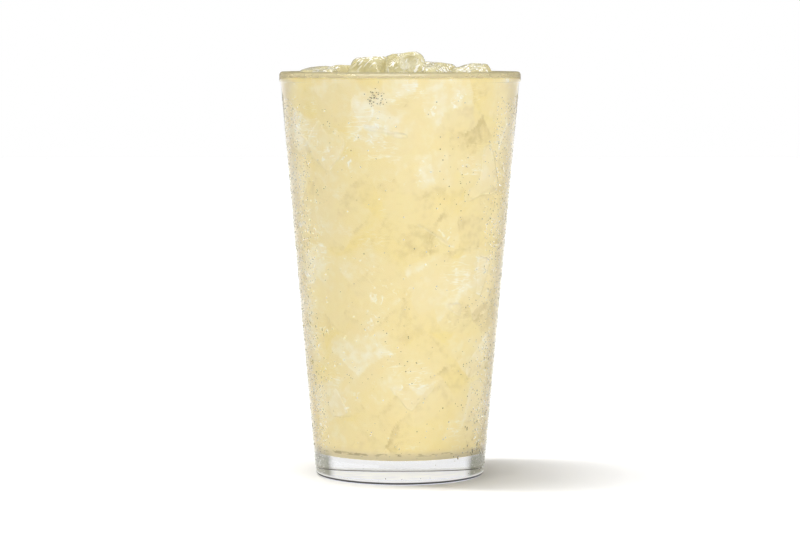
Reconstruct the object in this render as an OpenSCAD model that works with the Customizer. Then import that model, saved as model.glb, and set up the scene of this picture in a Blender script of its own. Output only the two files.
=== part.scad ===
// A pint tumbler of iced lemonade: a straight-sided glass that tapers to a thick foot,
// filled to the brim, with the tops of its ice cubes standing out of the drink.
// Millimetres, +Z up, origin at the centre of the resting face. The front faces -Y.

/* [Glass] */
// Height of the glass
glass_h = 149; // [120:1:180]
// Outer diameter over the rim
rim_d = 88.9; // [74:0.1:107]
// Outer diameter where the side meets the table
base_d = 62.2; // [50:0.1:75]
// Wall thickness at the rim
rim_wall = 2.5; // [1.8:0.1:3.2]
// Wall thickness at the foot
foot_wall = 3.6; // [2.4:0.1:4.5]
// Height of the upright band round the rim
rim_band_h = 3.6; // [2.4:0.1:6]
// How far the rim band stands proud of the tapering side
rim_proud = 0.2; // [0.1:0.05:0.5]
// Thickness of the glass floor
floor_t = 8.6; // [6:0.1:14]
// Radius where the floor turns up into the wall
floor_fillet = 5; // [3:0.1:9]
// Radius of the foot's outer edge
foot_fillet = 1.2; // [0.6:0.1:2.5]
// Width of the flat ring that the glass stands on
foot_ring_w = 5; // [3:0.1:8]
// Depth of the hollow inside that ring
hollow_depth = 1.2; // [0.5:0.1:3]

/* [Drink] */
// Level of the drink below the rim
headspace = 2; // [1:0.1:6]
// Clearance of the drink from the glass wall and from each ice cube
contact_gap = 0.05; // [0.02:0.01:0.2]

/* [Ice] */
// Ice cubes side by side round the wall
ring_count = 10; // [8:1:12]
// Clearance between the ring of cubes and the glass
wall_clear = 0.6; // [0.3:0.1:2]
// Least clearance between two cubes, whichever way they lean
ice_clear = 0.2; // [0.1:0.1:2]
// Direction of the first cube of the ring, in degrees from +X
ring_turn = 27; // [0:1:35]
// Height of each ring cube's top over the rim
ring_tops = [3, 3.6, 3.2, 2.4, 1.9, 0.3, -0.4, 0.5, -0.3, 0.1];
// Ice cubes in the heap inside that ring
heap_count = 3; // [2:1:3]
// Direction of the first cube of the heap, in degrees from +X
heap_turn = 160; // [0:1:359]
// Height of each heap cube's top over the rim
heap_tops = [5.7, 7.2, 2.7];
// How far a cube's corners reach from its centre, as a multiple of its edge
melt = 0.62; // [0.58:0.01:0.66]
// Most that a cube leans, in degrees
lean = 14; // [0:1:20]
// Most that a cube's edge is shorter than the others, as a share
edge_spread = 0.1; // [0:0.01:0.2]

/* [Hidden] */
$fn = 96;
ARC_STEPS = 8;
// Seed of the cubes' small differences in size and lean
LOOK_SEED = 148;

rim_r = rim_d / 2;
base_r = base_d / 2;
side_top_r = rim_r - rim_proud;
level_z = glass_h - headspace;

// Radius of the tapering side, thickness of its wall and radius of the cavity at height z
function outer_r(z) = base_r + (side_top_r - base_r) * z / glass_h;
function wall_at(z) = foot_wall + (rim_wall - foot_wall) * z / glass_h;
function inner_r(z) = outer_r(z) - wall_at(z);
wall_slope = (inner_r(level_z) - inner_r(floor_t)) / (level_z - floor_t);

// The cubes stand in a ring round the wall, as large as fits with their corners clear of
// each other and of the wall, and the heap stands in the room that the ring leaves.
// Each chord is the distance between neighbours at a radius of one.
ring_chord = 2 * sin(180 / ring_count);
mouth_r = inner_r(level_z) - wall_clear;
ring_edge = (mouth_r * ring_chord - ice_clear) / (2 * melt + ring_chord * (melt + wall_slope));
ring_r = (2 * melt * ring_edge + ice_clear) / ring_chord;

heap_chord = 2 * sin(180 / heap_count);
heap_room = ring_r - melt * ring_edge - ice_clear;
heap_edge = (heap_room * heap_chord - ice_clear) / (melt * (2 + heap_chord));
heap_r = (2 * melt * heap_edge + ice_clear) / heap_chord;

ice_count = ring_count + heap_count;
ice_names = [for (i = [0 : ice_count - 1]) str("ice_", i + 1)];

function arc(centre, r, from, to) =
    [for (i = [0 : ARC_STEPS])
        let (a = from + (to - from) * i / ARC_STEPS)
        centre + r * [cos(a), sin(a)]];

// Inside line of the glass: from the axis over the floor and up the wall to height top_z
function cavity_line(top_z, gap = 0) =
    let (
        wall_angle = atan(wall_slope),
        corner_z = floor_t + floor_fillet,
        corner_r = inner_r(corner_z) - floor_fillet / cos(wall_angle) - gap
    )
    concat(
        [[0, floor_t]],
        arc([corner_r, corner_z], floor_fillet, -90, -wall_angle),
        [[inner_r(top_z) - gap, top_z]]
    );

module glass() {
    lip_r = (rim_wall + rim_proud) / 2;
    lip_z = glass_h - lip_r;
    // The band's lower edge and the hollow's side both slope at one in two
    band_z = glass_h - rim_band_h;
    band_foot_z = band_z - 2 * rim_proud;
    foot_r = outer_r(foot_fillet) - foot_fillet;
    hollow_r = foot_r - foot_ring_w;
    color("aliceblue", 0.35)
    rotate_extrude()
    polygon(concat(
        cavity_line(lip_z),
        arc([rim_r - lip_r, lip_z], lip_r, 180, 0),
        [[rim_r, band_z], [outer_r(band_foot_z), band_foot_z]],
        arc([foot_r, foot_fillet], foot_fillet, 0, -90),
        [[hollow_r, 0], [hollow_r - 2 * hollow_depth, hollow_depth], [0, hollow_depth]]
    ));
}

module lemonade() {
    color("khaki")
    difference() {
        rotate_extrude()
        polygon(concat(cavity_line(level_z, contact_gap), [[0, level_z]]));
        for (i = [0 : ice_count - 1]) ice_cube(i, contact_gap);
    }
}

// Cubes are numbered round the ring first, then round the heap
function in_ring(i) = i < ring_count;
function full_edge(i) = in_ring(i) ? ring_edge : heap_edge;
function ice_edges(i) = full_edge(i) * [for (share = rands(1 - edge_spread, 1, 3, LOOK_SEED + i)) share];
function ice_leans(i) = rands(-lean, lean, 3, LOOK_SEED * 2 + i);
function ice_distance(i) = in_ring(i) ? ring_r : heap_r;
function ice_direction(i) = in_ring(i)
    ? ring_turn + 360 * i / ring_count
    : heap_turn + 360 * (i - ring_count) / heap_count;
function ice_top(i) = glass_h + (in_ring(i)
    ? ring_tops[i % len(ring_tops)]
    : heap_tops[(i - ring_count) % len(heap_tops)]);

// Height from a leaning cube's centre to the highest point of its round upper face
function face_height(i) = ice_edges(i)[2] / 2;
function face_r(i) = sqrt(pow(melt * full_edge(i), 2) - pow(face_height(i), 2));
function face_tilt(i) = acos(cos(ice_leans(i)[0]) * cos(ice_leans(i)[1]));
function ice_reach(i) = face_height(i) * cos(face_tilt(i)) + face_r(i) * sin(face_tilt(i));

// A half-melted cube: flat faces that run out into round corners
module melted_cube(full, edges, grow) {
    intersection() {
        cube(edges + 2 * grow * [1, 1, 1], center = true);
        sphere(r = melt * full + grow);
    }
}

module ice_cube(i, grow = 0) {
    color("ivory", 0.8)
    rotate([0, 0, ice_direction(i)])
    translate([ice_distance(i), 0, ice_top(i) - ice_reach(i)])
    rotate(ice_leans(i))
    melted_cube(full_edge(i), ice_edges(i), grow);
}

glass();
lemonade();
for (i = [0 : ice_count - 1])
    ice_cube(i);
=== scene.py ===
import math

import bpy
import numpy as np
from mathutils import Euler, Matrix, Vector, noise


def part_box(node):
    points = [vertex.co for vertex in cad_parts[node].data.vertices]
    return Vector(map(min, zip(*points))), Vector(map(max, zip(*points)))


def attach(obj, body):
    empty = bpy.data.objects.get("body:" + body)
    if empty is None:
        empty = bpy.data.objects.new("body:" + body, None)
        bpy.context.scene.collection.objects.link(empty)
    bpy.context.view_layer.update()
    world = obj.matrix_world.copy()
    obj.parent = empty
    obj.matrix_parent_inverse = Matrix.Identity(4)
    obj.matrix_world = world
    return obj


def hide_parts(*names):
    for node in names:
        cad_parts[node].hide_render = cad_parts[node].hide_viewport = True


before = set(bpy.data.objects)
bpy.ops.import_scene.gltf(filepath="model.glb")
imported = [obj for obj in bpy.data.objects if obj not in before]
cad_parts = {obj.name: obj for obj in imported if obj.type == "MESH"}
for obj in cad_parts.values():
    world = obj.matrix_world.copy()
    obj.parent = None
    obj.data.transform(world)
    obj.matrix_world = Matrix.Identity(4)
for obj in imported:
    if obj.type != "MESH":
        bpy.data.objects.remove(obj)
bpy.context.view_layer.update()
noise.seed_set(5)          # its vectors follow the clock until it has a seed

MM = 0.001

# ---------------------------------------------------------------- sizes, in metres
GLASS_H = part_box("glass")[1].z
RIM_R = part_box("glass")[1].y
BASE_R = 31.1 * MM
RIM_WALL, FOOT_WALL = 2.5 * MM, 3.6 * MM
RIM_PROUD, RIM_BAND_H = 0.2 * MM, 3.6 * MM
FLOOR_T, FLOOR_FILLET = 8.6 * MM, 5 * MM
FOOT_FILLET, FOOT_RING_W, HOLLOW_DEPTH = 1.2 * MM, 5 * MM, 1.2 * MM
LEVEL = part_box("lemonade")[1].z

ROUND = 192                # faces round the glass
DRINK_ROUND, DRINK_ROWS = 400, 200
BITE = 0.2 * MM            # how far the drink reaches into the wall
SIDE_TOP_R = RIM_R - RIM_PROUD


def outer_r(z):
    return BASE_R + (SIDE_TOP_R - BASE_R) * z / GLASS_H


def inner_r(z):
    return outer_r(z) - (FOOT_WALL + (RIM_WALL - FOOT_WALL) * z / GLASS_H)


def cavity_r(z):
    """Radius of the inside, round the fillet at the floor too."""
    rise = max(0, FLOOR_T + FLOOR_FILLET - z)
    return inner_r(z) - FLOOR_FILLET + math.sqrt(FLOOR_FILLET ** 2 - rise ** 2)


WALL_SLOPE = (inner_r(LEVEL) - inner_r(FLOOR_T)) / (LEVEL - FLOOR_T)

ICE_NODES = sorted(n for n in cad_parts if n.startswith("ice_"))


# ---------------------------------------------------------------- shader maths
class Num:
    """A number that changes over a surface, with arithmetic that adds Math nodes."""

    def __init__(self, finish, socket):
        self.finish, self.socket = finish, socket

    def maths(self, operation, *values):
        values = [v.socket if isinstance(v, Num) else v for v in values]
        return self.finish.node("ShaderNodeMath", {"operation": operation}, dict(enumerate(values)))

    def __add__(self, other):
        return self.maths("ADD", self, other)

    def __sub__(self, other):
        return self.maths("SUBTRACT", self, other)

    def __rsub__(self, other):
        return self.maths("SUBTRACT", other, self)

    def __mul__(self, other):
        return self.maths("MULTIPLY", self, other)

    def __truediv__(self, other):
        return self.maths("DIVIDE", self, other)

    def __pow__(self, other):
        return self.maths("POWER", self, other)

    def __rpow__(self, other):
        return self.maths("POWER", other, self)

    __radd__, __rmul__ = __add__, __mul__

    def at_most(self, other):
        return self.maths("MINIMUM", self, other)

    def at_least(self, other):
        return self.maths("MAXIMUM", self, other)

    def ramp(self, low, high, out_low=0.0, out_high=1.0):
        """Eases from out_low to out_high as the number goes from low to high."""
        return self.finish.node(
            "ShaderNodeMapRange",
            {"interpolation_type": "SMOOTHSTEP"},
            {"Value": self.socket, "From Min": low, "From Max": high, "To Min": out_low, "To Max": out_high},
        )


class Finish:
    """One material, with one method that makes any node in it."""

    def __init__(self, name, kind=bpy.data.materials):
        self.material = kind.new(name)
        self.material.use_nodes = True
        self.tree = self.material.node_tree
        self.tree.nodes.clear()

    def node(self, kind, settings=None, inputs=None, output=0):
        made = self.tree.nodes.new(kind)
        for name, value in (settings or {}).items():
            setattr(made, name, value)
        for key, value in (inputs or {}).items():
            value = value.socket if isinstance(value, Num) else value
            if isinstance(value, bpy.types.NodeSocket):
                self.tree.links.new(value, made.inputs[key])
            else:
                made.inputs[key].default_value = value
        return Num(self, made.outputs[output]) if made.outputs else None

    def place(self):
        return self.node("ShaderNodeTexCoord", output="Object")

    def xyz(self):
        split = self.node("ShaderNodeSeparateXYZ", {}, {0: self.place()})
        return [Num(self, socket) for socket in split.socket.node.outputs]

    def noise(self, size, detail=2.0, stretch=(1, 1, 1), shift=(0, 0, 0), turn=(0, 0, 0), distortion=0.0):
        """A pattern from 0 to 1 whose lumps are about size metres across, longer where stretched."""
        spot = self.node(
            "ShaderNodeMapping", {"vector_type": "TEXTURE"},
            {"Vector": self.place(), "Scale": [s * size for s in stretch], "Location": [s * size for s in shift],
             "Rotation": [math.radians(t) for t in turn]},
        )
        return self.node(
            "ShaderNodeTexNoise", {}, {"Vector": spot, "Scale": 1.0, "Detail": detail, "Distortion": distortion},
        )

    def mix(self, share, first, second):
        """A colour between first and second."""
        return self.node("ShaderNodeMix", {"data_type": "RGBA"}, {0: share, 6: first, 7: second}, output=2)

    def bump(self, height, depth, strength=1.0):
        return self.node("ShaderNodeBump", {}, {"Height": height, "Distance": depth, "Strength": strength})

    def principled(self, **inputs):
        names = {key.replace("_", " "): value for key, value in inputs.items()}
        return self.node("ShaderNodeBsdfPrincipled", {}, names)

    def mixed(self, share, first, second):
        """A shader between first and second."""
        return self.node("ShaderNodeMixShader", {}, {0: share, 1: first, 2: second})

    def transparent(self, red, green, blue):
        """Lets that share of the light straight through."""
        return self.node("ShaderNodeBsdfTransparent", {}, {"Color": (red, green, blue, 1)})

    def lit_through(self, shader, clear):
        """Lamps and soft light pass as through clear, and reach what stands behind the shader."""
        for ray in ("Is Diffuse Ray", "Is Shadow Ray"):
            shader = self.mixed(self.node("ShaderNodeLightPath", output=ray), shader, clear)
        return shader

    def surface(self, shader, kind="ShaderNodeOutputMaterial"):
        self.node(kind, {}, {"Surface": shader})
        return self.material


def colour(red, green, blue):
    """A display colour, 0 to 255, as the linear colour that sockets take."""
    linear = [((c / 255 + 0.055) / 1.055) ** 2.4 if c > 10 else c / 255 / 12.92 for c in (red, green, blue)]
    return (*linear, 1.0)


# ---------------------------------------------------------------- colours
LIQUID = colour(244, 224, 152)       # the drink between the ice
SUNK = colour(244, 228, 181)         # ice in the drink
PAINTED_GLINT = colour(255, 250, 232)         # painted glints: the brightest highlights on ice faces that catch the lamp, and the palest ice
SHADE = colour(201, 180, 118)        # painted shade: the darkest hollows between the ice and ice faces turned from the lamp, and the darkest ice
LOW_EDGE_TAN = colour(230, 215, 170)        # a greyer tan round the drink's lower edge, just above the glass's floor
SILT = colour(146, 128, 82)          # fine pulp that has sunk to the floor
TOP = colour(190, 178, 136)          # the drink's upper surface

WALL_GLASS, WALL_EDGE = colour(247, 248, 246), colour(190, 184, 166)
FOOT_GLASS, FOOT_EDGE = colour(220, 221, 224), colour(84, 84, 68)
# RIM_LINE is a painted dark reflection along the rim's top edge; RIM_MIST a dull olive film in patches just above the
# drink.
RIM_MIST, RIM_LINE = colour(192, 181, 142), colour(150, 141, 100)
CONTACT_SHADOW = colour(50, 48, 47)         # painted contact shadow: the dark line where the glass meets the table
FROSTED_GLOW = colour(184, 184, 182)        # base colour of a dull frosted band low round the foot, lit by a painted glow
TAN = colour(222, 208, 163)          # the thin ring of drink that climbs the glass


# ---------------------------------------------------------------- mesh helpers
def only(piece):
    """Makes this piece the one that operators act on."""
    bpy.ops.object.select_all(action="DESELECT")
    piece.select_set(True)
    bpy.context.view_layer.objects.active = piece
    return piece


def piece_from(name, points, faces=(), edges=()):
    mesh = bpy.data.meshes.new(name)
    mesh.from_pydata([tuple(p) for p in points], list(edges), list(faces))
    piece = bpy.data.objects.new(name, mesh)
    bpy.context.scene.collection.objects.link(piece)
    return only(piece)


def coordinates(piece):
    co = np.empty(len(piece.data.vertices) * 3, np.float32)
    piece.data.vertices.foreach_get("co", co)
    return co.reshape(-1, 3).astype(float)


def set_coordinates(piece, co):
    piece.data.vertices.foreach_set("co", co.astype(np.float32).ravel())
    piece.data.update()


def modify(piece, kind, **settings):
    """Adds a modifier to this piece and applies it."""
    only(piece)
    modifier = piece.modifiers.new(kind.title(), kind)
    for name, value in settings.items():
        setattr(modifier, name, value)
    bpy.ops.object.modifier_apply(modifier=modifier.name)
    return piece


def joined(name, pieces):
    """All the pieces as one."""
    bpy.ops.object.select_all(action="DESELECT")
    for piece in pieces:
        piece.select_set(True)
    bpy.context.view_layer.objects.active = pieces[0]
    bpy.ops.object.join()
    pieces[0].name = name
    return pieces[0]


def finish_piece(piece, slot, *materials, replaces=()):
    piece.data.materials.clear()
    for material in materials:
        piece.data.materials.append(material)
    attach(piece, "root")
    if replaces:
        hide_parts(*replaces)
    return piece


def arc(centre_r, centre_z, radius, start, end, steps):
    """Points (r, z) along an arc, its angles in degrees."""
    angles = [math.radians(start + (end - start) * i / steps) for i in range(steps + 1)]
    return [(centre_r + radius * math.cos(a), centre_z + radius * math.sin(a)) for a in angles]


def straight(start, end, steps):
    """Points (r, z) after start, up to and with end."""
    return [tuple(s + (e - s) * i / steps for s, e in zip(start, end)) for i in range(1, steps + 1)]


def spun(name, profile, around=ROUND):
    """A closed shell: a profile of points (r, z), from axis to axis, spun once round Z."""
    piece = piece_from(name, [(r, 0, z) for r, z in profile], edges=[(i, i + 1) for i in range(len(profile) - 1)])
    bpy.ops.object.mode_set(mode="EDIT")
    bpy.ops.mesh.select_all(action="SELECT")
    bpy.ops.mesh.spin(steps=around, angle=math.tau, center=(0, 0, 0), axis=(0, 0, 1))
    bpy.ops.mesh.select_all(action="SELECT")
    bpy.ops.mesh.remove_doubles(threshold=0.002 * MM)
    bpy.ops.mesh.normals_make_consistent(inside=False)
    bpy.ops.object.mode_set(mode="OBJECT")
    piece.data.shade_smooth()
    return piece


def cavity_line(top_z, reach, steps):
    """Inside line of the glass, from the axis over the floor and up the wall, reach into the glass."""
    corner_z = FLOOR_T + FLOOR_FILLET
    lean = math.degrees(math.atan(WALL_SLOPE))
    corner_r = inner_r(corner_z) - FLOOR_FILLET / math.cos(math.atan(WALL_SLOPE))
    line = [(0, FLOOR_T - reach)]
    line += straight(line[-1], (corner_r, FLOOR_T - reach), 12)
    line += arc(corner_r, corner_z, FLOOR_FILLET + reach, -90, -lean, 12)[1:]
    line += straight(line[-1], (inner_r(top_z) + reach, top_z), steps)
    return line


# ---------------------------------------------------------------- camera
def camera():
    """The eye stands a metre off, just above the rim's height, and looks slightly down."""
    data = bpy.data.cameras.new("camera")
    data.sensor_width = 36
    data.lens = 125.7
    data.clip_start = 0.01
    eye = bpy.data.objects.new("camera", data)
    eye.location = (0, -1.0314, 0.157)
    eye.rotation_euler = (math.radians(90 - 4.451), 0, 0)
    bpy.context.scene.collection.objects.link(eye)
    bpy.context.scene.camera = eye


# ---------------------------------------------------------------- finishes
def wet_glass_finish():
    """The inside of the glass where it meets the drink, which bends light less than air does."""
    f = Finish("glass_against_drink")
    clear = f.principled(Base_Color=(1, 1, 1, 1), Roughness=0.0, IOR=1.128, Transmission_Weight=1.0)
    return f.surface(f.lit_through(clear, f.transparent(0.98, 0.98, 0.98)))


def glass_finish():
    """Glass that darkens where it is seen edge on, more in the thick foot than in the wall."""
    f = Finish("glass")
    grazing = f.node("ShaderNodeLayerWeight", {}, {"Blend": 0.5}, output="Facing")
    height = f.xyz()[2]
    wall = f.mix(grazing.ramp(0.50, 0.74), WALL_GLASS, WALL_EDGE)
    foot = f.mix(grazing.ramp(0.36, 0.5), FOOT_GLASS, FOOT_EDGE)
    tint = f.mix(height.ramp(FLOOR_T - 1 * MM, FLOOR_T + 4 * MM), foot, wall)
    clear = f.principled(Base_Color=tint, Roughness=0.0, IOR=1.5, Transmission_Weight=1.0)
    at_rim = height.ramp(LEVEL - 0.6 * MM, LEVEL + 0.2 * MM)
    at_table = height.ramp(1.0 * MM, 0.8 * MM)
    # Painted reflection: the top of the rim turns dark.
    on_top = height.ramp(GLASS_H - 0.8 * MM, GLASS_H - 0.3 * MM)
    patches = f.noise(5 * MM, detail=3, stretch=(1, 1, 0.3)).ramp(0.35, 0.65, 0.34, 0.58) + on_top * 0.25
    mist_and_rim_reflection = f.principled(Base_Color=f.mix(on_top, RIM_MIST, RIM_LINE), Roughness=0.5, IOR=1.5)
    # Painted light: a dull band low on the foot, below about 2 mm, glows by emission, lighter than its own shade would
    # leave it.
    frost_and_glow = f.principled(
        Base_Color=FROSTED_GLOW, Roughness=1.0, Specular_IOR_Level=0.0,
        Emission_Color=colour(228, 228, 226), Emission_Strength=0.54,
    )
    # Painted contact shadow: the lowest millimetre of the glass turns dark where it meets the table.
    contact_shadow = f.principled(Base_Color=CONTACT_SHADOW, Roughness=1.0, Specular_IOR_Level=0.0)
    shader = f.mixed(at_rim * patches, clear, mist_and_rim_reflection)
    shader = f.mixed(height.ramp(1.9 * MM, 1.2 * MM) * 0.8, shader, frost_and_glow)
    shader = f.mixed(at_table * 0.9, shader, contact_shadow)
    passed = f.mixed(height.ramp(3 * MM, FLOOR_T), f.transparent(0.6, 0.6, 0.6), f.transparent(0.9, 0.9, 0.9))
    return f.surface(f.lit_through(shader, passed))


def drink_colour(f):
    """The drink's colour from what the side shows: how much ice, and how it is lit, as painted light and shade."""
    ice = f.node("ShaderNodeAttribute", {"attribute_name": "ice"}, output="Fac")
    light = f.node("ShaderNodeAttribute", {"attribute_name": "light"}, output="Fac")
    height = f.xyz()[2]
    drift = f.noise(22 * MM, detail=2).ramp(0.3, 0.7, -0.06, 0.06)
    grain = f.noise(2.6 * MM, detail=1, shift=(5, 2, 7)).ramp(0.25, 0.75, -0.07, 0.07)
    wave = f.noise(2.2 * MM, detail=2, stretch=(3.5, 3.5, 0.7), distortion=0.8, shift=(1, 4, 2))
    ridge = wave.ramp(0.53, 0.57) * wave.ramp(0.61, 0.57)
    where = f.noise(17 * MM, detail=1, shift=(3, 9, 1)).ramp(0.54, 0.66)
    # Painted glints: small bright marks, in clusters, added to the light number.
    sparkle = f.noise(2.4 * MM, detail=2, distortion=1.2, shift=(6, 6, 2)).ramp(0.56, 0.70)
    cluster = f.noise(13 * MM, detail=1, shift=(8, 3, 5)).ramp(0.54, 0.68)
    # Painted shade: small dark spots taken off the light number.
    spot_shade = f.noise(3 * MM, detail=3, stretch=(1, 1, 2.2), turn=(0, 35, 0), shift=(2, 7, 4)).ramp(0.64, 0.74)
    # The light number carries the sunk ice's painted light and shade, kept within bounds, with random drift and grain,
    # wavy pale ridges, painted glints and spots of painted shade.
    light = light.at_least(0.3).at_most(0.67) + drift + grain + (ridge * where) * 0.22
    light = (light + (sparkle * cluster) * 0.3 - spot_shade * 0.11).at_least(0.22)
    body = f.mix(ice, LIQUID, SUNK)
    # Painted shade where the light number is low, painted glints where it is high.
    body = f.mix(light.ramp(0.5, 0.0), body, SHADE)
    body = f.mix(light.ramp(0.5, 1.0), body, PAINTED_GLINT)
    edge = height.ramp(FLOOR_T + 4.5 * MM, FLOOR_T + 1.5 * MM) * height.ramp(FLOOR_T - 0.1 * MM, FLOOR_T + 0.4 * MM)
    body = f.mix(edge, body, LOW_EDGE_TAN)
    silt = f.noise(1.5 * MM, detail=2, stretch=(2.5, 2.5, 1), shift=(4, 4, 1)).ramp(0.5, 0.62)
    silt = silt * height.ramp(FLOOR_T + 2.8 * MM, FLOOR_T + 2.3 * MM) * height.ramp(FLOOR_T + 1.3 * MM, FLOOR_T + 1.8 * MM)
    body = f.mix(silt * 0.6, body, SILT)
    return f.mix(height.ramp(LEVEL - 0.4 * MM, LEVEL + 0.1 * MM), body, TAN)


def cloud_finish():
    """Cloudy drink with pale ice in it, seen through the glass."""
    f = Finish("cloudy_lemonade")
    return f.surface(f.principled(
        Base_Color=drink_colour(f), Roughness=0.6, IOR=1.1,
        Subsurface_Weight=0.3, Subsurface_Scale=1 * MM, Subsurface_Radius=(1.0, 0.85, 0.45),
    ))


def top_finish():
    """The drink's wet upper surface."""
    f = Finish("drink_surface")
    ripple = f.noise(5 * MM, detail=2)
    return f.surface(f.principled(
        Base_Color=TOP, Roughness=0.04, IOR=1.33, Normal=f.bump(ripple, 0.3 * MM, 0.3),
        Subsurface_Weight=0.3, Subsurface_Scale=1 * MM, Subsurface_Radius=(1.0, 0.85, 0.45),
    ))


def ice_finish():
    """Wet ice: clear, with an olive edge and streaks of trapped air."""
    f = Finish("melting_ice")
    grazing = f.node("ShaderNodeLayerWeight", {}, {"Blend": 0.5}, output="Facing")
    ripple = f.noise(5 * MM, detail=1)
    tint = f.mix(grazing.ramp(0.6, 0.95), colour(250, 249, 238), colour(196, 192, 150))
    clear = f.principled(
        Base_Color=tint, Roughness=0.05, IOR=1.31, Transmission_Weight=1.0,
        Normal=f.bump(ripple, 0.5 * MM, 0.4),
    )
    cloud = f.noise(7 * MM, detail=3, shift=(5, 5, 1)).ramp(0.35, 0.65, 0.2, 0.7)
    streak = f.noise(0.9 * MM, detail=1, stretch=(1, 1, 8), turn=(20, 38, 0), distortion=0.2).ramp(0.54, 0.6)
    where = f.noise(8 * MM, detail=1, shift=(7, 1, 4)).ramp(0.40, 0.54)
    milky = f.principled(
        Base_Color=f.mix(streak * where, colour(218, 211, 168), colour(255, 254, 250)),
        Roughness=0.12, IOR=1.31, Normal=f.bump(ripple, 0.5 * MM, 0.4),
    )
    shader = f.mixed((cloud + (streak * where) * 0.6).at_most(0.95), clear, milky)
    return f.surface(f.lit_through(shader, f.transparent(0.9, 0.88, 0.78)))


def dew_finish():
    """Clear drops of water."""
    f = Finish("dew")
    tint = f.mix(f.noise(3 * MM, detail=2), colour(218, 212, 180), colour(248, 246, 240))
    water = f.principled(Base_Color=tint, Roughness=0.0, IOR=1.33, Transmission_Weight=1.0)
    return f.surface(f.lit_through(water, f.transparent(0.95, 0.95, 0.95)))


def fine_dew_finish():
    """Fine beads of water, some of them white with a painted glow that stands in for the light they scatter."""
    f = Finish("fine_dew")
    grey = f.noise(0.6 * MM, detail=0, shift=(3, 3, 3)).ramp(0.5, 0.58)
    tint = f.mix(grey, colour(240, 238, 228), colour(176, 168, 146))
    water = f.principled(Base_Color=tint, Roughness=0.0, IOR=1.33, Transmission_Weight=1.0)
    glowing_froth = f.principled(Base_Color=colour(252, 252, 252), Roughness=0.6, Emission_Color=(1, 1, 1, 1), Emission_Strength=0.6)
    white = f.noise(0.6 * MM, detail=0).ramp(0.46, 0.54, 0.0, 0.45)
    drop = f.mixed(0.75, f.transparent(1, 1, 1), f.mixed(white, water, glowing_froth))
    return f.surface(f.lit_through(drop, f.transparent(0.95, 0.95, 0.95)))


def foot_finish():
    """The frosted underside of the foot, given a painted glow (emission) that keeps it light where the drink's shadow
    falls.
    """
    f = Finish("ground_foot_glow")
    frost = f.noise(4 * MM, detail=3).ramp(0.3, 0.7)
    return f.surface(f.principled(
        Base_Color=f.mix(frost, colour(174, 179, 202), colour(186, 191, 212)), Roughness=1.0, Specular_IOR_Level=0.0,
        Emission_Color=f.mix(frost, colour(228, 230, 234), colour(238, 240, 243)), Emission_Strength=0.82,
    ))


def bubble_finish():
    f = Finish("bubbles")
    tint = f.mix(f.noise(2 * MM, detail=2).ramp(0.35, 0.65), colour(112, 100, 64), colour(168, 156, 116))
    return f.surface(f.principled(Base_Color=tint, Roughness=0.15, IOR=1.33))


# ---------------------------------------------------------------- glass
def tumbler():
    lip_r = (RIM_WALL + RIM_PROUD) / 2
    band_z = GLASS_H - RIM_BAND_H
    band_foot_z = band_z - 2 * RIM_PROUD
    foot_r = outer_r(FOOT_FILLET) - FOOT_FILLET
    hollow_r = foot_r - FOOT_RING_W
    line = cavity_line(LEVEL, 0, 30)
    line += straight(line[-1], (RIM_R - 2 * lip_r, GLASS_H - lip_r), 2)
    line += arc(RIM_R - lip_r, GLASS_H - lip_r, lip_r, 180, 0, 16)[1:]
    line += straight(line[-1], (RIM_R, band_z), 2)
    line += straight(line[-1], (outer_r(band_foot_z), band_foot_z), 2)
    line += straight(line[-1], (outer_r(FOOT_FILLET), FOOT_FILLET), 30)
    line += arc(foot_r, FOOT_FILLET, FOOT_FILLET, 0, -90, 10)[1:]
    line += straight(line[-1], (hollow_r, 0), 3)
    line += straight(line[-1], (hollow_r - 2 * HOLLOW_DEPTH, HOLLOW_DEPTH), 3)
    line += straight(line[-1], (0, HOLLOW_DEPTH), 8)
    piece = spun("tumbler", line)
    finish_piece(piece, "glass", glass_finish(), wet_glass_finish(), foot_finish(), replaces=["glass"])
    for face in piece.data.polygons:
        x, y, z = face.center
        inside = math.hypot(x, y) < inner_r(z) + 0.3 * MM
        if inside and FLOOR_T - 0.1 * MM < z < LEVEL:
            face.material_index = 1
        if z < HOLLOW_DEPTH + 0.1 * MM and math.hypot(x, y) < foot_r:
            face.material_index = 2
    return piece


# ---------------------------------------------------------------- drink and the ice sunk in it
LAMP_WAY = np.array((-0.55, -0.45, 0.70))      # the lamp's way, from which the painted light and shade on the sunk ice are worked out


class Cube:
    """A cube of ice sunk in the drink."""

    def __init__(self, centre, turn, half, shade):
        self.centre, self.turn, self.half, self.shade = np.array(centre), np.array(turn), np.array(half), shade
        self.depth = inner_r(centre[2]) - math.hypot(centre[0], centre[1])

    def look(self, points, inward):
        """Where the straight lines from the points run into the cube: how thick the cube is
        there, how deep it starts, and how its first face turns to the lamp, for its painted light and shade."""
        local = (points - self.centre) @ self.turn
        way = inward @ self.turn
        way = np.where(np.abs(way) < 1e-6, 1e-6, way)
        first = (-np.sign(way) * self.half - local) / way
        last = (np.sign(way) * self.half - local) / way
        side = first.argmax(1)
        start, end = first.max(1), last.min(1)
        facing = -np.sign(np.take_along_axis(way, side[:, None], 1)) * self.turn.T[side]
        return end - start, start, facing @ LAMP_WAY


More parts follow.
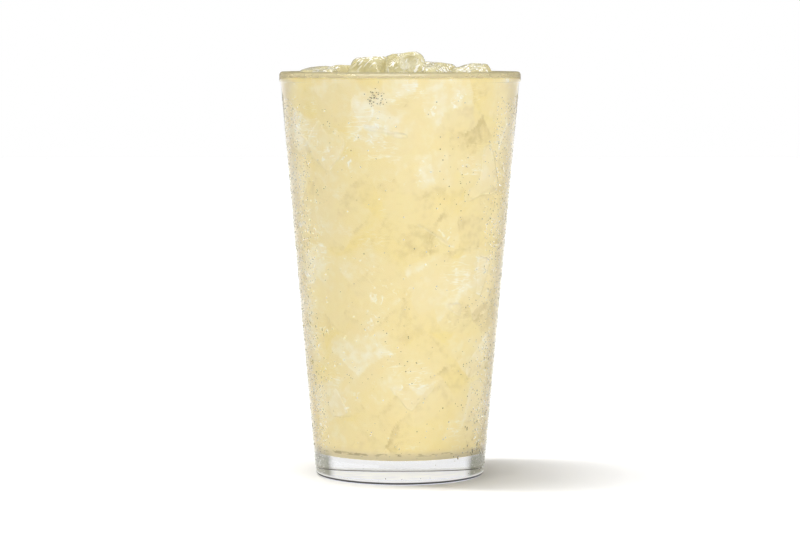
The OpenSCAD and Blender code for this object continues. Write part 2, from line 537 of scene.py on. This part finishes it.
def sunk_cubes():
    """Cubes in three loose shells from the wall inwards, row by row from the floor to the top."""
    rng = np.random.default_rng(11)
    cubes = []
    rows = 9
    for row in range(rows):
        z = FLOOR_T + 7 * MM + row * (LEVEL - FLOOR_T - 13 * MM) / (rows - 1)
        for shell, depth in enumerate((7 * MM, 12 * MM, 20 * MM)):
            ring = inner_r(z) - depth
            count = max(4, int(math.tau * ring / (17 * MM)))
            for i in range(count):
                angle = math.tau * (i + 0.5 * ((row + shell) % 2) + rng.uniform(-0.35, 0.35)) / count
                r = ring + rng.uniform(-2, 2) * MM
                half = 8.2 * MM * rng.uniform(0.75, 1.15, 3)
                lean = Euler((*rng.uniform(-0.8, 0.8, 2), angle + rng.uniform(-0.8, 0.8))).to_matrix()
                centre = (r * math.cos(angle), r * math.sin(angle), z + rng.uniform(-4, 4) * MM)
                cubes.append(Cube(centre, lean, half, rng.uniform(-1, 1)))
    lean = Euler((0.5, 0.3, math.radians(258))).to_matrix()
    cubes.append(Cube((-7 * MM, -33 * MM, LEVEL - 12 * MM), lean, (8 * MM, 6 * MM, 6 * MM), 0.9))
    return cubes


def smooth(values):
    """Eases from 0 to 1 as the values go from 0 to 1."""
    values = np.clip(values, 0, 1)
    return values * values * (3 - 2 * values)


def wobble(points, size, reach, shift):
    """The points, pushed about as uneven ice and glass bend what is seen through them."""
    pushed = [noise.noise_vector(Vector(p) / size + Vector((shift, 0, 0))) for p in points.tolist()]
    return points + reach * np.array([tuple(v) for v in pushed])


def seen_from(points, cubes):
    """Looks inwards from points on the side of the drink: how much ice shows there, and its painted light and shade.
    """
    radius = np.hypot(points[:, 0], points[:, 1])
    inward = np.column_stack([-points[:, 0] / radius, -points[:, 1] / radius, np.zeros(len(points))])
    bent = wobble(points, 9 * MM, 1.8 * MM, 3.0)
    bent = wobble(bent, 2.6 * MM, 0.5 * MM, 8.0)
    ice = np.zeros(len(points))
    light = np.zeros(len(points))
    for cube in sorted(cubes, key=lambda c: -c.depth):
        reach = np.linalg.norm(cube.half)
        away = bent - cube.centre
        across = np.linalg.norm(away - (away * inward).sum(1)[:, None] * inward, axis=1)
        near = np.flatnonzero((across < reach) & ((away * inward).sum(1) < 0))
        thick, start, catch = cube.look(bent[near], inward[near])
        start = np.maximum(start, 0)
        cover = smooth(thick / (1.0 * MM + 0.3 * start))
        veil = cover * 0.62 * np.exp(-start / (9 * MM))
        # Painted edge light: lit along the lamp side of each cube's outline, shaded along the far side.
        rim = 4 * cover * (1 - cover) * (away[near] @ LAMP_WAY) / reach
        # Each cube's random tone, with its painted facet light and painted edge light.
        value = 0.45 * cube.shade + 0.75 * catch + 0.9 * rim
        ice[near] = ice[near] * (1 - veil) + veil * (0.75 + 0.25 * cube.shade)
        light[near] = light[near] * (1 - veil) + veil * value
    return ice, light


def paint(piece, points, cubes, more_ice=0.0, more_light=0.0):
    """Stores on the piece how much ice shows at each point, and how bright it looks: painted light and shade from the
    ice faces and their edges.
    """
    ice, light = seen_from(points, cubes)
    ice = np.clip(ice + more_ice, 0, 1)
    light = 0.47 + 0.34 * light + more_light
    for name, values in (("ice", ice), ("light", light)):
        layer = piece.data.attributes.new(name, "FLOAT", "POINT")
        layer.data.foreach_set("value", values.astype(np.float32))


def drink(cubes, cloudy):
    """The drink as one body that reaches into the wall, its side showing the ice in it."""
    line = cavity_line(LEVEL, BITE, DRINK_ROWS)
    wall = line[-1][0]
    climb, width, rings = 0.9 * MM, 1.1 * MM, 22
    inwards = [(1 - i / rings) ** 2 for i in range(rings)]
    line += [(wall * s, LEVEL + climb * math.exp(-wall * (1 - s) / width)) for s in inwards]
    line += [(0, LEVEL)]
    body = spun("drink", line, DRINK_ROUND)
    co = coordinates(body)
    side = (np.hypot(co[:, 0], co[:, 1]) > 6 * MM) & (co[:, 2] < LEVEL)
    points = np.where(side[:, None], co, np.array((0, -20 * MM, LEVEL)))
    paint(body, points, cubes)
    finish_piece(body, "lemonade", cloudy, top_finish(), replaces=["lemonade"])
    for face in body.data.polygons:
        face.material_index = int(face.normal.z > 0.4 and face.center.z > LEVEL - 1 * MM)
    return body


def sunk_ice(cubes, cloudy):
    """The cubes that touch the glass, each flattened where it presses against the wall."""
    rng = np.random.default_rng(51)
    bpy.ops.object.select_all(action="DESELECT")
    bpy.ops.mesh.primitive_cube_add(size=2, location=(0, 0, 0))
    cube_piece = bpy.context.object
    bpy.ops.object.mode_set(mode="EDIT")
    bpy.ops.mesh.select_all(action="SELECT")
    bpy.ops.mesh.subdivide(number_cuts=15)
    bpy.ops.object.mode_set(mode="OBJECT")
    modify(cube_piece, "SMOOTH", factor=0.5, iterations=14)
    shape = coordinates(cube_piece)
    copies = []
    for cube in cubes:
        points = cube.centre + (shape * cube.half) @ cube.turn.T
        points = wobble(points, 7 * MM, 1.2 * MM, 4.0)
        radius = np.hypot(points[:, 0], points[:, 1])
        proud = (0.03 + 0.012 * (len(copies) % 8)) * MM
        limit = inner_r(points[:, 2]) + BITE + proud
        low, high = points[:, 2].min(), points[:, 2].max()
        poking = (radius > limit).sum()
        if poking < 12 or low < FLOOR_T + 3 * MM or high > LEVEL - 4 * MM or rng.uniform() < 0.45:
            continue
        over = np.maximum(radius - limit, 0)
        pressed = np.minimum(radius, limit) + 0.1 * MM * (1 - np.exp(-over / (3 * MM)))
        points[:, :2] *= (pressed / radius)[:, None]
        copy = bpy.data.objects.new("sunk_ice", cube_piece.data.copy())
        bpy.context.scene.collection.objects.link(copy)
        set_coordinates(copy, points)
        copies.append(copy)
    bpy.data.objects.remove(cube_piece)
    piece = joined("sunk_ice", copies)
    piece.data.shade_smooth()
    # The pressed cubes take the same painted light and shade, a touch brighter.
    paint(piece, coordinates(piece), cubes, more_ice=0.25, more_light=0.03)
    return finish_piece(piece, "ice", cloudy)


# ---------------------------------------------------------------- small round things
def domes(name, spots, levels=((1.0, -0.15), (0.78, 0.62)), sides=6):
    """One joined mesh of drops: each spot gives its centre on a surface, the way out of the
    surface, and the drop's half width, half height and bulge."""
    outline = [(math.cos(math.tau * i / sides), math.sin(math.tau * i / sides)) for i in range(sides)]
    points, faces = [], []
    for spot, out, wide, tall, bulge in spots:
        across = Vector((0, 0, 1)).cross(out).normalized()
        along = out.cross(across)
        first = len(points)
        for scale, lift in levels:
            points += [spot + across * x * scale * wide + along * y * scale * tall + out * lift * bulge for x, y in outline]
        points.append(spot + out * bulge)
        faces.append([first + i for i in reversed(range(sides))])
        for level in range(len(levels) - 1):
            start = first + level * sides
            faces += [(start + i, start + (i + 1) % sides, start + sides + (i + 1) % sides, start + sides + i)
                      for i in range(sides)]
        last = first + (len(levels) - 1) * sides
        faces += [(last + i, last + (i + 1) % sides, len(points) - 1) for i in range(sides)]
    piece = piece_from(name, points, faces)
    piece.data.shade_smooth()
    return piece


def on_wall(angle, z, radius_at):
    """The point on a tapering wall at that angle and height, and the way out of the wall."""
    slope = (radius_at(z + 1 * MM) - radius_at(z)) / (1 * MM)
    out = Vector((math.cos(angle), math.sin(angle), -slope)).normalized()
    return Vector((radius_at(z) * math.cos(angle), radius_at(z) * math.sin(angle), z)), out


def fine_dew():
    """Dew too fine to see as drops, thickest on the left and right sides of the glass."""
    rng = np.random.default_rng(31)
    spots = []
    while len(spots) < 9000:
        angle, z = rng.uniform(0, math.tau), rng.uniform(1.5 * MM, GLASS_H - 9 * MM)
        patch = noise.noise(Vector((3 * math.cos(angle), 3 * math.sin(angle), z / (16 * MM))))
        on_a_side = smooth((abs(math.cos(angle)) - 0.74 + 0.1 * patch) / 0.22)
        if rng.uniform() < (0.02 + 0.98 * on_a_side) * (0.75 + 0.4 * patch):
            spot, out = on_wall(angle, z, outer_r)
            wide = rng.uniform(0.14, 0.34) * MM
            spots.append((spot, out, wide, wide * rng.uniform(0.9, 1.3), wide * 0.6))
    return finish_piece(domes("fine_dew", spots, levels=((1.0, -0.15),), sides=4), "glass", fine_dew_finish())


def dew():
    """Larger drops: a few anywhere, most of them low on the sides, some run long."""
    rng = np.random.default_rng(32)
    patches = [(208, 11, 28, 58, 26, 0.42), (325, 8, 6, 26, 22, 0.46)]
    patches += [(0, 16, 8, 100, 140, 0.3), (180, 16, 8, 100, 140, 0.3), (90, 90, 5, 120, 200, 0.15)]
    patches += [(270, 50, 5, 60, 60, 0.12), (35, 12, 10, 60, 40, 0.4), (142, 12, 10, 60, 40, 0.4)]
    spots = []
    for middle, spread, low, high, count, widest in patches:
        for i in range(count):
            angle = math.radians(rng.normal(middle, spread))
            spot, out = on_wall(angle, rng.uniform(low, high) * MM, outer_r)
            wide = widest * rng.uniform(0.35, 1.0) * MM
            spots.append((spot, out, wide, wide * rng.uniform(1.0, 2.3), wide * 0.6))
    return finish_piece(domes("dew", spots, levels=((1.0, -0.15), (0.94, 0.35), (0.62, 0.8)), sides=9), "glass", dew_finish())


def bubbles():
    """Small bubbles that cling to the inside of the glass, some in close clusters."""
    rng = np.random.default_rng(41)
    spots = []
    clusters = [(math.radians(258), LEVEL - 7 * MM, 64, 1.7 * MM)]
    clusters += [(rng.uniform(0, math.tau), rng.uniform(25, 135) * MM, int(rng.uniform(5, 14)), 3 * MM)
                 for i in range(26)]
    for angle, z, count, spread in clusters:
        for i in range(count):
            x, y = rng.normal(0, spread, 2)
            spot, out = on_wall(angle + x / inner_r(z), min(z + y, LEVEL - 1 * MM), cavity_r)
            wide = rng.uniform(0.10, 0.26) * MM
            spots.append((spot + out * BITE, out, wide, wide, wide))
    for i in range(120):
        spot, out = on_wall(rng.uniform(0, math.tau), FLOOR_T + rng.uniform(1.2, 2.4) * MM, cavity_r)
        wide = rng.uniform(0.10, 0.3) * MM
        spots.append((spot + out * BITE, out, wide * rng.uniform(1, 2), wide, wide))
    return finish_piece(domes("bubbles", spots), "lemonade", bubble_finish())


# ---------------------------------------------------------------- ice at the mouth
def ice_at_the_mouth():
    copies = []
    for name in ICE_NODES:
        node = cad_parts[name]
        copy = bpy.data.objects.new("melting_ice", node.data.copy())
        bpy.context.scene.collection.objects.link(copy)
        only(copy)
        bpy.ops.object.mode_set(mode="EDIT")
        bpy.ops.mesh.select_all(action="SELECT")
        bpy.ops.mesh.remove_doubles(threshold=0.005 * MM)
        bpy.ops.object.mode_set(mode="OBJECT")
        modify(copy, "REMESH", mode="VOXEL", voxel_size=0.7 * MM)
        modify(copy, "SMOOTH", factor=0.5, iterations=6)
        set_coordinates(copy, wobble(wobble(coordinates(copy), 6 * MM, 0.8 * MM, 2.0), 2 * MM, 0.16 * MM, 6.0))
        copies.append(copy)
    piece = joined("melting_ice", copies)
    piece.data.shade_smooth()
    return finish_piece(piece, "ice", ice_finish(), replaces=ICE_NODES)


# ---------------------------------------------------------------- studio
AMBIENT, KEY = 0.3, 0.85       # strength of the soft light all round, and of the long lamp overhead


def sun(name, azimuth, elevation, spread, strength):
    """Far light from that side, its angles in degrees: azimuth from +X towards +Y."""
    data = bpy.data.lights.new(name, "SUN")
    data.angle = math.radians(spread)
    data.energy = strength
    made = bpy.data.objects.new(name, data)
    made.rotation_euler = (math.radians(90 - elevation), 0, math.radians(azimuth + 90))
    bpy.context.scene.collection.objects.link(made)
    made.visible_glossy = False
    return made


def highlight(place, aim, size, strength):
    """A long softbox that only shows as a reflection."""
    data = bpy.data.lights.new("highlight", "AREA")
    data.shape = "RECTANGLE"
    data.size, data.size_y = size
    data.energy = strength * math.pi * size[0] * size[1]
    made = bpy.data.objects.new("highlight", data)
    made.location = place
    made.rotation_euler = (Vector(aim) - Vector(place)).to_track_quat("-Z", "Y").to_euler()
    made.visible_diffuse = False
    made.visible_transmission = False
    bpy.context.scene.collection.objects.link(made)


def studio():
    scene = bpy.context.scene
    scene.view_settings.view_transform = "Standard"
    scene.cycles.use_denoising = True
    scene.cycles.max_bounces = 16
    scene.cycles.transmission_bounces = 12
    scene.cycles.transparent_max_bounces = 16
    scene.cycles.caustics_reflective = False

    bpy.ops.object.select_all(action="DESELECT")
    bpy.ops.mesh.primitive_plane_add(size=6, location=(0, 0, -0.0002))
    floor = bpy.context.object
    floor.name = "floor"
    f = Finish("pale_floor")
    floor.data.materials.append(f.surface(f.principled(Base_Color=(0.93, 0.93, 0.93, 1), Roughness=0.9, IOR=1.1)))

    f = Finish("studio", bpy.data.worlds)
    way = f.node("ShaderNodeTexCoord", output="Generated")
    height = f.node("ShaderNodeSeparateXYZ", {}, {0: way}, output=2)
    white = f.node("ShaderNodeBackground", {}, {"Color": (1, 1, 1, 1), "Strength": 1.0})
    fill = f.node("ShaderNodeBackground", {}, {"Color": (1, 1, 1, 1), "Strength": AMBIENT})
    mirrored = f.node("ShaderNodeBackground", {}, {"Color": (1, 1, 1, 1), "Strength": height.ramp(0.3, 0.8, 0.4, 1.0)})
    shown = f.mixed(f.node("ShaderNodeLightPath", output="Is Transmission Ray"), mirrored, white)
    shown = f.mixed(f.node("ShaderNodeLightPath", output="Is Diffuse Ray"), shown, fill)
    shown = f.mixed(f.node("ShaderNodeLightPath", output="Is Camera Ray"), shown, white)
    scene.world = f.surface(shown, "ShaderNodeOutputWorld")

    strip = [64 + 31 * (i + 0.5) / 7 for i in range(7)]
    for i, elevation in enumerate(strip):
        sun(f"overhead_{i + 1}", 174, elevation, 4.5, KEY * math.pi / 7)
    sun("front_right", -55, 14, 50, 0.40 * math.pi)
    sun("front_left", -125, 20, 50, 0.13 * math.pi)
    highlight((-0.2, -0.95, 0.85), (0, 0, 0.1), (1.6, 0.6), 9)


camera()
studio()
tumbler()
sunk = sunk_cubes()
cloudy_lemonade = cloud_finish()
drink(sunk, cloudy_lemonade)
sunk_ice(sunk, cloudy_lemonade)
bubbles()
fine_dew()
dew()
ice_at_the_mouth()
